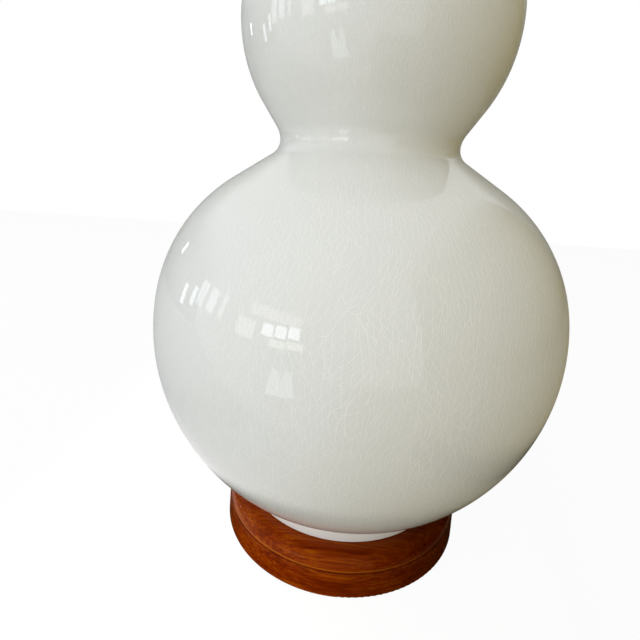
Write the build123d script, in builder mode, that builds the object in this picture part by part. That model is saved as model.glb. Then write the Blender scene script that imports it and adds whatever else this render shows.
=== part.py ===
"""Double gourd table lamp: a glazed ceramic body on a turned wooden base, with its brass fittings.

Millimetres, +Z up. The origin is the centre of the underside of the felt that the lamp stands on.
The lamp's front is towards -Y, the cord leaves the base at the back, and the harp lies in the XZ plane.
"""

from build123d import *
from math import acos, cos, degrees, radians, sin, sqrt
import os

# Wooden base and the felt under it
felt_thickness = 2.0
felt_setback = 3.5
base_bottom_radius = 92.6
base_side_draft = 1.1
base_band_height = 19.5
base_height = 30.5
base_quirk = 0.5
base_edge_round = 1.0
base_quirk_round = 0.35
recess_radius = 60.0
recess_depth = 16.0

# Cord inlet in the back of the base
inlet_height = 9.5
inlet_spot_face = 1.0
bushing_bore_radius = 3.6
bushing_wall = 1.4
bushing_shank_length = 12.0
bushing_flange_width = 2.2
bushing_flange_thickness = 1.8
bushing_edge_round = 0.6

# Ceramic body: belly, waist and upper bulb are arcs that run tangent into each other
body_wall = 6.5
foot_radius = 76.0
foot_wall_height = 10.4
foot_fillet = 2.0
foot_ring_width = 10.0
foot_ring_depth = 8.0
foot_edge_round = 1.2
floor_thickness = 8.0
belly_radius = 140.0
shoulder_radius = 113.0
shoulder_start = 13.3
shoulder_end = 57.8
waist_radius = 57.7
waist_lower_fillet = 10.0
waist_upper_fillet = 13.5
flare_angle = 33.6
flare_length = 16.8
bulb_radius = 76.5
collar_radius = 37.0
collar_fillet = 4.0
collar_wall_height = 4.0
collar_edge_round = 1.5

# Threaded pipe that draws the lamp together, with its nut and washers in the base
pipe_radius = 4.8
pipe_bore_radius = 3.5
pipe_clearance = 0.3
thread_clearance = 0.05
pipe_below_nut = 2.5
pipe_above_saddle = 5.5
washer_radius = 19.0
washer_thickness = 2.0
lock_washer_radius = 8.5
lock_washer_thickness = 1.4
lock_washer_split = 1.2
nut_across_flats = 14.3
nut_thickness = 5.0
nut_chamfer = 0.6

# Cap over the body's opening, and the neck above it
gasket_thickness = 1.5
gasket_margin = 1.2
cap_sheet = 1.0
cap_lip_gap = 0.8
cap_lip_drop = 2.0
cap_rim_width = 5.0
cap_rim_round = 1.6
cap_cove_radius = 18.0
cap_boss_height = 3.0
neck_height = 26.0
neck_end_radius = 9.5
neck_waist_radius = 6.8
neck_bead_height = 4.0
check_ring_radius = 11.0
check_ring_thickness = 3.0
check_ring_round = 1.0

# Harp, its saddle and its two sliding ferrules
saddle_thickness = 1.6
saddle_eye_radius = 10.5
saddle_post_width = 4.2
saddle_post_inside = 29.0
saddle_post_height = 15.0
saddle_bend_radius = 2.2
harp_height = 229.0
harp_half_width = 58.0
harp_wire_radius = 1.75
harp_straight_leg = 40.0
harp_flare_angle = 22.0
harp_lower_bend = 30.0
harp_upper_bend = 80.0
harp_post_gap = 0.25
harp_eye_radius = 6.0
harp_eye_thickness = 2.4
ferrule_length = 19.0
ferrule_wall = 0.65
ferrule_crown = 2.5
ferrule_post_gap = 0.25
ferrule_wire_gap = 0.1
ferrule_edge_round = 0.5
rest_gap = 0.3

# Stud that carries the shade, and the finial
stud_radius = 3.1
stud_shank_radius = 3.175
stud_length = 12.7
stud_flange_radius = 5.5
stud_flange_thickness = 2.0
stud_rivet_radius = 2.4
stud_head_radius = 4.0
stud_head_thickness = 1.4
stud_tip_chamfer = 0.5
stud_relief_radius = 2.6
stud_relief_length = 0.8
finial_bore_depth = 9.2
finial_bore_end_gap = 0.3
finial_base_radius = 7.5
finial_base_thickness = 2.4
finial_neck_radius = 4.9
finial_neck_height = 6.0
finial_ball_radius = 9.5
finial_tip_radius = 2.6

# Lamp socket
socket_boss_radius = 8.5
socket_boss_height = 7.0
socket_cap_sheet = 0.8
socket_cap_height = 12.5
socket_cap_corner = 2.5
shell_outer_radius = 16.4
shell_sheet = 0.5
shell_height = 42.0
shell_lip_width = 0.8
slide_in_gap = 0.1
liner_thickness = 0.8
liner_below_lip = 0.6
core_gap = 0.4
core_height = 18.0
core_flat = 11.2
insulator_thickness = 2.0
insulator_hole_radius = 6.0
screw_shell_radius = 13.3
screw_shell_sheet = 0.4
screw_shell_height = 22.0
contact_radius = 4.0
contact_thickness = 1.2
contact_travel = 1.5
contact_stem_radius = 1.5
contact_stem_length = 5.0
contact_recess_gap = 1.0
contact_below_top = 0.3
running_clearance = 0.05
terminal_head_radius = 3.2
terminal_head_thickness = 1.6
terminal_shank_radius = 1.5
terminal_shank_length = 5.0
terminal_slot_width = 0.8
terminal_slot_depth = 0.7
terminal_height = 7.0
set_screw_radius = 1.5
set_screw_proud = 1.0
set_screw_slot_width = 0.6
set_screw_slot_depth = 0.8

# Turn switch at the front of the socket
switch_height = 13.0
switch_shaft_radius = 1.6
switch_shaft_depth = 9.5
switch_slot_gap = 1.1
knob_standoff = 3.0
knob_length = 11.0
knob_radius = 6.2
knob_taper = 0.8
knob_flutes = 12
knob_flute_radius = 0.9
knob_grip = 6.0
knob_edge_round = 0.8


def polar(radius, angle):
    """The point at this radius and angle, in degrees, from (0, 0) in an outline's plane."""
    return Vector(radius * cos(radians(angle)), radius * sin(radians(angle)))


# Heights that follow from the pieces standing on each other
base_bottom = felt_thickness
base_top = base_bottom + base_height
recess_top = base_bottom + recess_depth
washer_bottom = recess_top - washer_thickness
lock_washer_bottom = washer_bottom - lock_washer_thickness
nut_bottom = lock_washer_bottom - nut_thickness

# Arc centres of the body's outline, as (radius from the lamp's axis, height)
belly_rise = sqrt((belly_radius + foot_fillet) ** 2 - (foot_radius + foot_fillet) ** 2)
foot_wall_top = base_top + foot_wall_height
belly_centre = Vector(0, foot_wall_top + belly_rise)
shoulder_centre = belly_centre + polar(belly_radius - shoulder_radius, shoulder_start)
shoulder_edge = shoulder_centre + polar(shoulder_radius, shoulder_end)
slope_offset = shoulder_edge.X - waist_lower_fillet * (1 - cos(radians(shoulder_end))) - waist_radius
slope_length = slope_offset / sin(radians(shoulder_end))
slope_end = shoulder_edge + polar(slope_length, shoulder_end + 90)
waist_lower_centre = slope_end + polar(waist_lower_fillet, shoulder_end)
waist_upper_centre = Vector(waist_radius + waist_upper_fillet, waist_lower_centre.Y)
flare_start = waist_upper_centre + polar(waist_upper_fillet, 180 - flare_angle)
flare_end = flare_start + polar(flare_length, 90 - flare_angle)
bulb_centre = flare_end + polar(bulb_radius, 180 - flare_angle)
collar_reach = collar_radius + collar_fillet - bulb_centre.X
bulb_end = degrees(acos(collar_reach / (bulb_radius + collar_fillet)))
collar_centre = bulb_centre + polar(bulb_radius + collar_fillet, bulb_end)
collar_top = collar_centre.Y + collar_wall_height
collar_bore_radius = collar_radius - body_wall
floor_top = base_top + foot_ring_depth + floor_thickness
pipe_hole_radius = pipe_radius + pipe_clearance

# The stack above the body
cap_seat = collar_top + gasket_thickness
cap_radius = collar_radius + cap_lip_gap + cap_sheet
cove_foot = cap_seat + cap_sheet
cap_top = cove_foot + cap_cove_radius + cap_boss_height
neck_top = cap_top + neck_height
saddle_bottom = neck_top + check_ring_thickness
saddle_top = saddle_bottom + saddle_thickness
socket_floor_bottom = saddle_top + socket_boss_height
socket_floor = socket_floor_bottom + socket_cap_sheet
core_bottom = socket_floor + insulator_thickness
core_top = core_bottom + core_height
shell_top = core_bottom + shell_height
switch_axis = core_bottom + switch_height

# Harp levels
leg_bottom = saddle_top + rest_gap
leg_x = saddle_post_inside - harp_post_gap - harp_wire_radius
stud_seat = saddle_bottom + harp_height
stud_flange_bottom = stud_seat - stud_flange_thickness
harp_eye_top = stud_flange_bottom - running_clearance
harp_eye_bottom = harp_eye_top - harp_eye_thickness
harp_top = (harp_eye_top + harp_eye_bottom) / 2
stud_head_top = harp_eye_bottom - running_clearance
finial_bottom = stud_seat + stud_length + finial_bore_end_gap - finial_bore_depth
stud_shank_length = finial_bottom - stud_seat - rest_gap

pieces = {}


def keep(name, builder):
    """Labels a finished piece and sets it aside to be written out."""
    builder.part.label = name
    pieces[name] = builder.part


# Wooden base: a turned disc with a plain band, a quirk line and a rounded shoulder, hollow underneath
shoulder_round = base_height - base_band_height
band_top_radius = base_bottom_radius - base_side_draft
ledge_radius = band_top_radius - base_quirk - shoulder_round
band_top = base_bottom + base_band_height
inlet_face = base_bottom_radius - inlet_spot_face - base_edge_round
bushing_shank_radius = bushing_bore_radius + bushing_wall
bushing_flange_radius = bushing_shank_radius + bushing_flange_width
inlet_plane = Plane(origin=(0, inlet_face, base_bottom + inlet_height), x_dir=(1, 0, 0), z_dir=(0, 1, 0))

with BuildPart() as wood_base:
    with BuildSketch(Plane.XZ) as base_profile:
        with BuildLine():
            shoulder = CenterArc((ledge_radius, band_top), shoulder_round, 0, 90)
            Polyline(
                shoulder @ 1,
                (pipe_hole_radius, base_top),
                (pipe_hole_radius, recess_top),
                (recess_radius, recess_top),
                (recess_radius, base_bottom),
                (base_bottom_radius, base_bottom),
                (band_top_radius, band_top),
                shoulder @ 0,
            )
        make_face()
        rim_corner = base_profile.vertices().group_by(Axis.Y)[0].sort_by(Axis.X)[-1]
        fillet(rim_corner, radius=base_edge_round)
        band_corner = [v for v in base_profile.vertices() if abs(v.X - band_top_radius) < base_quirk / 10]
        fillet(band_corner, radius=base_quirk_round)
    revolve(axis=Axis.Z)
    with BuildSketch(inlet_plane):
        Circle(bushing_flange_radius + pipe_clearance)
    extrude(amount=base_bottom_radius - inlet_face + base_edge_round, mode=Mode.SUBTRACT)
    with BuildSketch(inlet_plane):
        Circle(bushing_shank_radius)
    extrude(amount=recess_radius / 2 - inlet_face, mode=Mode.SUBTRACT)
keep("wood_base", wood_base)

# Felt disc glued under the base
with BuildPart() as base_felt:
    with BuildSketch():
        Circle(base_bottom_radius - felt_setback)
    extrude(amount=felt_thickness)
keep("base_felt", base_felt)

# Flanged bushing that lines the cord's hole
with BuildPart() as cord_bushing:
    with BuildSketch(inlet_plane):
        Circle(bushing_flange_radius)
    extrude(amount=bushing_flange_thickness)
    flange_edge = cord_bushing.faces().sort_by(Axis.Y)[-1].edges()
    fillet(flange_edge, radius=bushing_edge_round)
    with BuildSketch(inlet_plane):
        Circle(bushing_shank_radius)
    extrude(amount=-bushing_shank_length)
    with BuildSketch(inlet_plane.offset(bushing_flange_thickness)):
        Circle(bushing_bore_radius)
    extrude(amount=-(bushing_flange_thickness + bushing_shank_length), mode=Mode.SUBTRACT)
keep("cord_bushing", cord_bushing)

# Steel washer against the wood, in the recess under the base
with BuildPart() as bottom_washer:
    with BuildSketch(Plane.XY.offset(washer_bottom)):
        Circle(washer_radius)
        Circle(pipe_hole_radius, mode=Mode.SUBTRACT)
    extrude(amount=washer_thickness)
keep("bottom_washer", bottom_washer)

# Split spring washer
with BuildPart() as lock_washer:
    with BuildSketch(Plane.XY.offset(lock_washer_bottom)):
        Circle(lock_washer_radius)
        Circle(pipe_hole_radius, mode=Mode.SUBTRACT)
        with Locations(((lock_washer_radius + pipe_hole_radius) / 2, 0)):
            Rectangle(lock_washer_radius, lock_washer_split, mode=Mode.SUBTRACT)
    extrude(amount=lock_washer_thickness)
keep("lock_washer", lock_washer)

# Hexagon nut on the foot of the pipe
with BuildPart() as bottom_nut:
    with BuildSketch(Plane.XY.offset(nut_bottom)):
        RegularPolygon(nut_across_flats / 2, 6, major_radius=False)
        Circle(pipe_radius + thread_clearance, mode=Mode.SUBTRACT)
    extrude(amount=nut_thickness)
    bore_edges = bottom_nut.edges().filter_by(GeomType.CIRCLE)
    chamfer(bore_edges, length=nut_chamfer)
keep("bottom_nut", bottom_nut)

# Ceramic body: one slip-cast shell of even wall, standing on a foot ring
belly_inner_radius = belly_radius - body_wall
floor_angle = -degrees(acos(sqrt(1 - ((belly_centre.Y - floor_top) / belly_inner_radius) ** 2)))
foot_fillet_angle = -degrees(acos((foot_radius + foot_fillet) / (belly_radius + foot_fillet)))
foot_fillet_centre = (foot_radius + foot_fillet, foot_wall_top)


def gourd_curve(inset, start_angle):
    """Draws the gourd's face from its belly up to its collar, set in by a wall, and returns both ends."""
    belly = CenterArc(belly_centre, belly_radius - inset, start_angle, shoulder_start - start_angle)
    shoulder = CenterArc(
        shoulder_centre, shoulder_radius - inset, shoulder_start, shoulder_end - shoulder_start
    )
    lower = CenterArc(waist_lower_centre, waist_lower_fillet + inset, 180 + shoulder_end, -shoulder_end)
    upper = CenterArc(waist_upper_centre, waist_upper_fillet + inset, 180, -flare_angle)
    bulb = CenterArc(bulb_centre, bulb_radius - inset, -flare_angle, flare_angle + bulb_end)
    collar = CenterArc(collar_centre, collar_fillet + inset, 180 + bulb_end, -bulb_end)
    Line(shoulder @ 1, lower @ 0)
    Line(upper @ 1, bulb @ 0)
    return belly @ 0, collar @ 1


with BuildPart() as ceramic_body:
    with BuildSketch(Plane.XZ) as body_profile:
        with BuildLine():
            outer_start, outer_end = gourd_curve(0, foot_fillet_angle)
            inner_start, inner_end = gourd_curve(body_wall, floor_angle)
            foot_cove = CenterArc(foot_fillet_centre, foot_fillet, 180, foot_fillet_angle)
            Polyline(
                outer_end,
                (collar_radius, collar_top),
                (collar_bore_radius, collar_top),
                inner_end,
            )
            Polyline(
                inner_start,
                (pipe_hole_radius, floor_top),
                (pipe_hole_radius, base_top + foot_ring_depth),
                (foot_radius - foot_ring_width, base_top + foot_ring_depth),
                (foot_radius - foot_ring_width, base_top),
                (foot_radius, base_top),
                foot_cove @ 0,
            )
        make_face()
        collar_corners = body_profile.vertices().group_by(Axis.Y)[-1]
        fillet(collar_corners, radius=collar_edge_round)
        foot_corners = body_profile.vertices().group_by(Axis.Y)[0]
        fillet(foot_corners, radius=foot_edge_round)
    revolve(axis=Axis.Z)
keep("ceramic_body", ceramic_body)

# Threaded steel pipe through the whole lamp; the lead runs up inside it
with BuildPart() as lamp_pipe:
    pipe_bottom = nut_bottom - pipe_below_nut
    pipe_length = saddle_top + pipe_above_saddle - pipe_bottom
    with BuildSketch(Plane.XY.offset(pipe_bottom)):
        Circle(pipe_radius)
        Circle(pipe_bore_radius, mode=Mode.SUBTRACT)
    extrude(amount=pipe_length)
keep("lamp_pipe", lamp_pipe)

# Rubber gasket between the glaze and the brass
with BuildPart() as cap_gasket:
    with BuildSketch(Plane.XY.offset(collar_top)):
        Circle(collar_radius - gasket_margin)
        Circle(collar_bore_radius + gasket_margin, mode=Mode.SUBTRACT)
    extrude(amount=gasket_thickness)
keep("cap_gasket", cap_gasket)

# Spun brass cap: a lip round the collar, a flat rim, and a cove that rises to a boss
cove_centre = (cap_radius - cap_rim_width, cove_foot + cap_cove_radius)
boss_radius = cap_radius - cap_rim_width - cap_cove_radius
rim_round_centre = (cap_radius - cap_rim_round, cove_foot - cap_rim_round)

with BuildPart() as vase_cap:
    with BuildSketch(Plane.XZ):
        with BuildLine():
            outer_cove = CenterArc(cove_centre, cap_cove_radius, 180, 90)
            inner_cove = CenterArc(cove_centre, cap_cove_radius + cap_sheet, 180, 90)
            outer_rim = CenterArc(rim_round_centre, cap_rim_round, 0, 90)
            inner_rim = CenterArc(rim_round_centre, cap_rim_round - cap_sheet, 0, 90)
            Line(outer_cove @ 1, outer_rim @ 1)
            Line(inner_cove @ 1, inner_rim @ 1)
            Polyline(
                outer_rim @ 0,
                (cap_radius, cap_seat - cap_lip_drop),
                (cap_radius - cap_sheet, cap_seat - cap_lip_drop),
                inner_rim @ 0,
            )
            Polyline(
                outer_cove @ 0,
                (boss_radius, cap_top),
                (pipe_hole_radius, cap_top),
                (pipe_hole_radius, cap_top - cap_sheet),
                (boss_radius - cap_sheet, cap_top - cap_sheet),
                inner_cove @ 0,
            )
        make_face()
    revolve(axis=Axis.Z)
keep("vase_cap", vase_cap)

# Turned brass neck between two beads
bead_radius = neck_bead_height / 2
bead_inset = neck_end_radius - bead_radius
with BuildPart() as neck_spacer:
    with BuildSketch(Plane.XZ):
        with BuildLine():
            lower_bead = CenterArc((bead_inset, cap_top + bead_radius), bead_radius, -90, 180)
            upper_bead = CenterArc((bead_inset, neck_top - bead_radius), bead_radius, -90, 180)
            ThreePointArc(lower_bead @ 1, (neck_waist_radius, (cap_top + neck_top) / 2), upper_bead @ 0)
            Polyline(
                upper_bead @ 1,
                (pipe_hole_radius, neck_top),
                (pipe_hole_radius, cap_top),
                lower_bead @ 0,
            )
        make_face()
    revolve(axis=Axis.Z)
keep("neck_spacer", neck_spacer)

# Ring that carries the saddle
with BuildPart() as check_ring:
    with BuildSketch(Plane.XY.offset(neck_top)):
        Circle(check_ring_radius)
        Circle(pipe_hole_radius, mode=Mode.SUBTRACT)
    extrude(amount=check_ring_thickness)
    ring_edges = check_ring.edges().filter_by(GeomType.CIRCLE).group_by(SortBy.RADIUS)[-1]
    fillet(ring_edges, radius=check_ring_round)
keep("check_ring", check_ring)

# Harp saddle: a stamped strap whose ends turn up into two posts
post_outside = saddle_post_inside + saddle_thickness
post_top = saddle_top + saddle_post_height

with BuildPart() as harp_saddle:
    with BuildSketch(Plane.XZ) as saddle_side:
        with BuildLine():
            Polyline(
                (-post_outside, post_top),
                (-post_outside, saddle_bottom),
                (post_outside, saddle_bottom),
                (post_outside, post_top),
                (saddle_post_inside, post_top),
                (saddle_post_inside, saddle_top),
                (-saddle_post_inside, saddle_top),
                (-saddle_post_inside, post_top),
                close=True,
            )
        make_face()
        outer_bends = saddle_side.vertices().group_by(Axis.Y)[0]
        fillet(outer_bends, radius=saddle_bend_radius)
        inner_bends = [v for v in saddle_side.vertices() if abs(v.Y - saddle_top) < saddle_thickness / 4]
        fillet(inner_bends, radius=saddle_bend_radius - saddle_thickness)
    extrude(amount=saddle_eye_radius, both=True)
    with BuildSketch(Plane.XY.offset(saddle_bottom)):
        Circle(saddle_eye_radius)
        Rectangle(2 * post_outside, saddle_post_width)
        Circle(pipe_hole_radius, mode=Mode.SUBTRACT)
    extrude(amount=saddle_thickness + saddle_post_height, mode=Mode.INTERSECT)
keep("harp_saddle", harp_saddle)

# Socket cap: a brass cup whose threaded boss screws onto the top of the pipe
socket_cap_inner_radius = shell_outer_radius + slide_in_gap
socket_cap_radius = socket_cap_inner_radius + socket_cap_sheet
socket_cap_top = socket_floor + socket_cap_height
boss_bore_radius = pipe_radius + thread_clearance
set_screw_height = saddle_top + socket_boss_height / 2
set_screw_plane = Plane(origin=(0, 0, set_screw_height), x_dir=(1, 0, 0), z_dir=(0, 1, 0))

with BuildPart() as socket_cap:
    with BuildSketch(Plane.XZ):
        with BuildLine():
            outer_corner = CenterArc(
                (socket_cap_radius - socket_cap_corner, socket_floor_bottom + socket_cap_corner),
                socket_cap_corner, -90, 90,
            )
            inner_corner = CenterArc(
                (socket_cap_radius - socket_cap_corner, socket_floor_bottom + socket_cap_corner),
                socket_cap_corner - socket_cap_sheet, -90, 90,
            )
            Polyline(
                outer_corner @ 1,
                (socket_cap_radius, socket_cap_top),
                (socket_cap_inner_radius, socket_cap_top),
                inner_corner @ 1,
            )
            Polyline(
                inner_corner @ 0,
                (boss_bore_radius, socket_floor),
                (boss_bore_radius, saddle_top),
                (socket_boss_radius, saddle_top),
                (socket_boss_radius, socket_floor_bottom),
                outer_corner @ 0,
            )
        make_face()
    revolve(axis=Axis.Z)
    with BuildSketch(set_screw_plane):
        Circle(set_screw_radius + thread_clearance)
    extrude(amount=socket_boss_radius, mode=Mode.SUBTRACT)
keep("socket_cap", socket_cap)

# Slotted screw that locks the cap to the pipe
with BuildPart() as cap_set_screw:
    screw_start = boss_bore_radius + thread_clearance
    screw_end = socket_boss_radius + set_screw_proud
    with BuildSketch(set_screw_plane.offset(screw_start)):
        Circle(set_screw_radius)
    extrude(amount=screw_end - screw_start)
    with BuildSketch(set_screw_plane.offset(screw_end)):
        Rectangle(2 * set_screw_radius, set_screw_slot_width)
    extrude(amount=-set_screw_slot_depth, mode=Mode.SUBTRACT)
keep("cap_set_screw", cap_set_screw)

# Fibre ring that keeps the live parts off the cap
insulator_radius = socket_cap_radius - socket_cap_corner - slide_in_gap
with BuildPart() as socket_insulator:
    with BuildSketch(Plane.XY.offset(socket_floor)):
        Circle(insulator_radius)
        Circle(insulator_hole_radius, mode=Mode.SUBTRACT)
    extrude(amount=insulator_thickness)
keep("socket_insulator", socket_insulator)

# The shell and its paper liner both have a slot, open at the bottom, for the switch's shaft
shell_inner_radius = shell_outer_radius - shell_sheet
liner_radius = shell_inner_radius - slide_in_gap
liner_inner_radius = liner_radius - liner_thickness
core_radius = liner_inner_radius - core_gap
switch_plane = Plane(origin=(0, 0, switch_axis), x_dir=(1, 0, 0), z_dir=(0, -1, 0))


slot_radius = switch_shaft_radius + switch_slot_gap
with BuildSketch(switch_plane) as switch_slot:
    Circle(slot_radius)
    with Locations((0, switch_height / 2)):
        Rectangle(2 * slot_radius, switch_height)

# Brass shell with a turned-in lip at its mouth
with BuildPart() as socket_shell:
    with BuildSketch(Plane.XY.offset(core_bottom)):
        Circle(shell_outer_radius)
        Circle(shell_inner_radius, mode=Mode.SUBTRACT)
    extrude(amount=shell_height)
    with BuildSketch(Plane.XY.offset(shell_top - shell_sheet)):
        Circle(shell_inner_radius)
        Circle(shell_inner_radius - shell_lip_width, mode=Mode.SUBTRACT)
    extrude(amount=shell_sheet)
    extrude(switch_slot.sketch, amount=2 * shell_outer_radius, mode=Mode.SUBTRACT)
keep("socket_shell", socket_shell)

# Paper liner
with BuildPart() as socket_liner:
    with BuildSketch(Plane.XY.offset(core_bottom)):
        Circle(liner_radius)
        Circle(liner_inner_radius, mode=Mode.SUBTRACT)
    extrude(amount=shell_height - shell_sheet - liner_below_lip)
    extrude(switch_slot.sketch, amount=2 * shell_outer_radius, mode=Mode.SUBTRACT)
keep("socket_liner", socket_liner)

# Moulded core, with flats for the terminals, a well for the centre contact and a bore for the shaft
contact_rest = core_top - contact_below_top
well_radius = contact_radius + contact_recess_gap
well_floor = contact_rest - contact_thickness - contact_travel - rest_gap
shaft_reach = core_radius - switch_shaft_depth

with BuildPart() as socket_core:
    with BuildSketch(Plane.XY.offset(core_bottom)):
        Circle(core_radius)
        Rectangle(2 * core_flat, 2 * core_radius, mode=Mode.INTERSECT)
    extrude(amount=core_height - screw_shell_sheet)
    with BuildSketch(Plane.XY.offset(core_top - screw_shell_sheet)):
        Circle(core_flat)
    extrude(amount=screw_shell_sheet)
    with BuildSketch(Plane.XY.offset(core_top)):
        Circle(well_radius)
    extrude(amount=well_floor - core_top, mode=Mode.SUBTRACT)
    with BuildSketch(Plane.XY.offset(core_top)):
        Circle(contact_stem_radius + running_clearance)
    extrude(amount=-core_height, mode=Mode.SUBTRACT)
    with BuildSketch(switch_plane.offset(shaft_reach - rest_gap)):
        Circle(switch_shaft_radius + running_clearance)
    extrude(amount=core_radius, mode=Mode.SUBTRACT)
    for side in (1, -1):
        terminal_plane = Plane(
            origin=(side * core_flat, 0, core_bottom + terminal_height), x_dir=(0, 1, 0), z_dir=(side, 0, 0)
        )
        with BuildSketch(terminal_plane):
            Circle(terminal_shank_radius + thread_clearance)
        extrude(amount=-terminal_shank_length - rest_gap, mode=Mode.SUBTRACT)
keep("socket_core", socket_core)

# Screw shell that takes the bulb, with a flange seated on the core
screw_shell_outer_radius = screw_shell_radius + screw_shell_sheet
with BuildPart() as screw_shell:
    with BuildSketch(Plane.XY.offset(core_top - screw_shell_sheet)):
        Circle(screw_shell_outer_radius)
        Circle(core_flat, mode=Mode.SUBTRACT)
    extrude(amount=screw_shell_sheet)
    with BuildSketch(Plane.XY.offset(core_top)):
        Circle(screw_shell_outer_radius)
        Circle(screw_shell_radius, mode=Mode.SUBTRACT)
    extrude(amount=screw_shell_height)
keep("screw_shell", screw_shell)

# Sprung centre contact: a button on a stem
with BuildPart() as centre_contact:
    with BuildSketch(Plane.XY.offset(contact_rest)):
        Circle(contact_radius)
    extrude(amount=-contact_thickness)
    with BuildSketch(Plane.XY.offset(contact_rest - contact_thickness)):
        Circle(contact_stem_radius)
    extrude(amount=-contact_stem_length)
keep("centre_contact", centre_contact)

# Two terminal screws, one on each flat of the core
with BuildPart() as terminal_screws:
    for side in (1, -1):
        terminal_plane = Plane(
            origin=(side * core_flat, 0, core_bottom + terminal_height), x_dir=(0, 1, 0), z_dir=(side, 0, 0)
        )
        with BuildSketch(terminal_plane):
            Circle(terminal_head_radius)
        extrude(amount=terminal_head_thickness)
        with BuildSketch(terminal_plane):
            Circle(terminal_shank_radius)
        extrude(amount=-terminal_shank_length)
        with BuildSketch(terminal_plane.offset(terminal_head_thickness)):
            Rectangle(2 * terminal_head_radius, terminal_slot_width)
        extrude(amount=-terminal_slot_depth, mode=Mode.SUBTRACT)
keep("terminal_screws", terminal_screws)

# Shaft of the turn switch
knob_start = shell_outer_radius + knob_standoff
with BuildPart() as switch_shaft:
    with BuildSketch(switch_plane.offset(shaft_reach)):
        Circle(switch_shaft_radius)
    extrude(amount=knob_start + knob_length / 2 - shaft_reach)
keep("switch_shaft", switch_shaft)

# Fluted knob on the shaft
with BuildPart() as switch_knob:
    with BuildSketch(switch_plane.offset(knob_start)):
        Circle(knob_radius)
    with BuildSketch(switch_plane.offset(knob_start + knob_length)):
        Circle(knob_radius - knob_taper)
    loft()
    outer_edges = switch_knob.faces().sort_by(Axis.Y)[0].edges()
    fillet(outer_edges, radius=knob_edge_round)
    with BuildSketch(switch_plane.offset(knob_start + knob_length - knob_grip)):
        with PolarLocations(knob_radius, knob_flutes):
            Circle(knob_flute_radius)
    extrude(amount=knob_grip, mode=Mode.SUBTRACT)
    with BuildSketch(switch_plane.offset(knob_start)):
        Circle(switch_shaft_radius)
    extrude(amount=knob_length / 2, mode=Mode.SUBTRACT)
keep("switch_knob", switch_knob)

# Harp: one bent wire, straight at the legs, flaring out and arching over the bulb
leg_straight_top = leg_bottom + harp_straight_leg
arch_spring = harp_top - harp_half_width
harp_bends = harp_lower_bend + harp_upper_bend
bend_drift = harp_bends * (1 - cos(radians(harp_flare_angle)))
flare_run = (harp_half_width - leg_x - bend_drift) / sin(radians(harp_flare_angle))
flare_rise = harp_bends * sin(radians(harp_flare_angle)) + flare_run * cos(radians(harp_flare_angle))
lower_bend_centre = (leg_x + harp_lower_bend, leg_straight_top)
upper_bend_centre = (harp_half_width - harp_upper_bend, leg_straight_top + flare_rise)

with BuildPart() as harp:
    with BuildLine(Plane.XZ) as harp_path:
        Line((leg_x, leg_bottom), (leg_x, leg_straight_top))
        lower_bend = CenterArc(lower_bend_centre, harp_lower_bend, 180, -harp_flare_angle)
        upper_bend = CenterArc(upper_bend_centre, harp_upper_bend, -harp_flare_angle, harp_flare_angle)
        Line(lower_bend @ 1, upper_bend @ 0)
        Line(upper_bend @ 1, (harp_half_width, arch_spring))
        CenterArc((0, arch_spring), harp_half_width, 0, 90)
        mirror(about=Plane.YZ)
    with BuildSketch(Plane.XY.offset(leg_bottom)):
        with Locations((leg_x, 0)):
            Circle(harp_wire_radius)
    sweep(path=harp_path.wires()[0])
    with BuildSketch(Plane.XY.offset(harp_eye_bottom)):
        Circle(harp_eye_radius)
    extrude(amount=harp_eye_thickness)
    with BuildSketch(Plane.XY.offset(harp_eye_top)):
        Circle(harp_eye_radius)
    extrude(amount=harp_wire_radius, mode=Mode.SUBTRACT)
    with BuildSketch(Plane.XY.offset(harp_eye_bottom)):
        Circle(harp_eye_radius)
    extrude(amount=-harp_wire_radius, mode=Mode.SUBTRACT)
    with BuildSketch(Plane.XY.offset(harp_eye_bottom)):
        Circle(stud_rivet_radius + running_clearance)
    extrude(amount=harp_eye_thickness, mode=Mode.SUBTRACT)
keep("harp", harp)

# Threaded stud that swivels in the harp's eye, held by its flange above and its head below. A shade's ring
# sits round its plain shank, which ends just under the finial, and a relief groove parts it from the thread.
with BuildPart() as harp_stud:
    with BuildSketch(Plane.XY.offset(stud_seat)):
        Circle(stud_radius)
    extrude(amount=stud_length)
    tip_edge = harp_stud.faces().sort_by(Axis.Z)[-1].edges()
    chamfer(tip_edge, length=stud_tip_chamfer)
    with BuildSketch(Plane.XY.offset(stud_seat)):
        Circle(stud_shank_radius)
    extrude(amount=stud_shank_length)
    with BuildSketch(Plane.XY.offset(stud_seat + stud_shank_length)):
        Circle(stud_shank_radius)
        Circle(stud_relief_radius, mode=Mode.SUBTRACT)
    extrude(amount=stud_relief_length, mode=Mode.SUBTRACT)
    with BuildSketch(Plane.XY.offset(stud_flange_bottom)):
        Circle(stud_flange_radius)
    extrude(amount=stud_flange_thickness)
    with BuildSketch(Plane.XY.offset(stud_head_top)):
        Circle(stud_rivet_radius)
    extrude(amount=stud_flange_bottom - stud_head_top)
    with BuildSketch(Plane.XY.offset(stud_head_top)):
        Circle(stud_head_radius)
    extrude(amount=-stud_head_thickness)
keep("harp_stud", harp_stud)

# Ferrules: sleeves that slide down the harp's legs and lock them to the saddle's posts
ferrule_x = (leg_x - harp_wire_radius + post_outside) / 2
post_corner = Vector(post_outside - ferrule_x, saddle_post_width / 2)
ferrule_bore_radius = post_corner.length + ferrule_post_gap
ferrule_radius = ferrule_bore_radius + ferrule_wall


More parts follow.
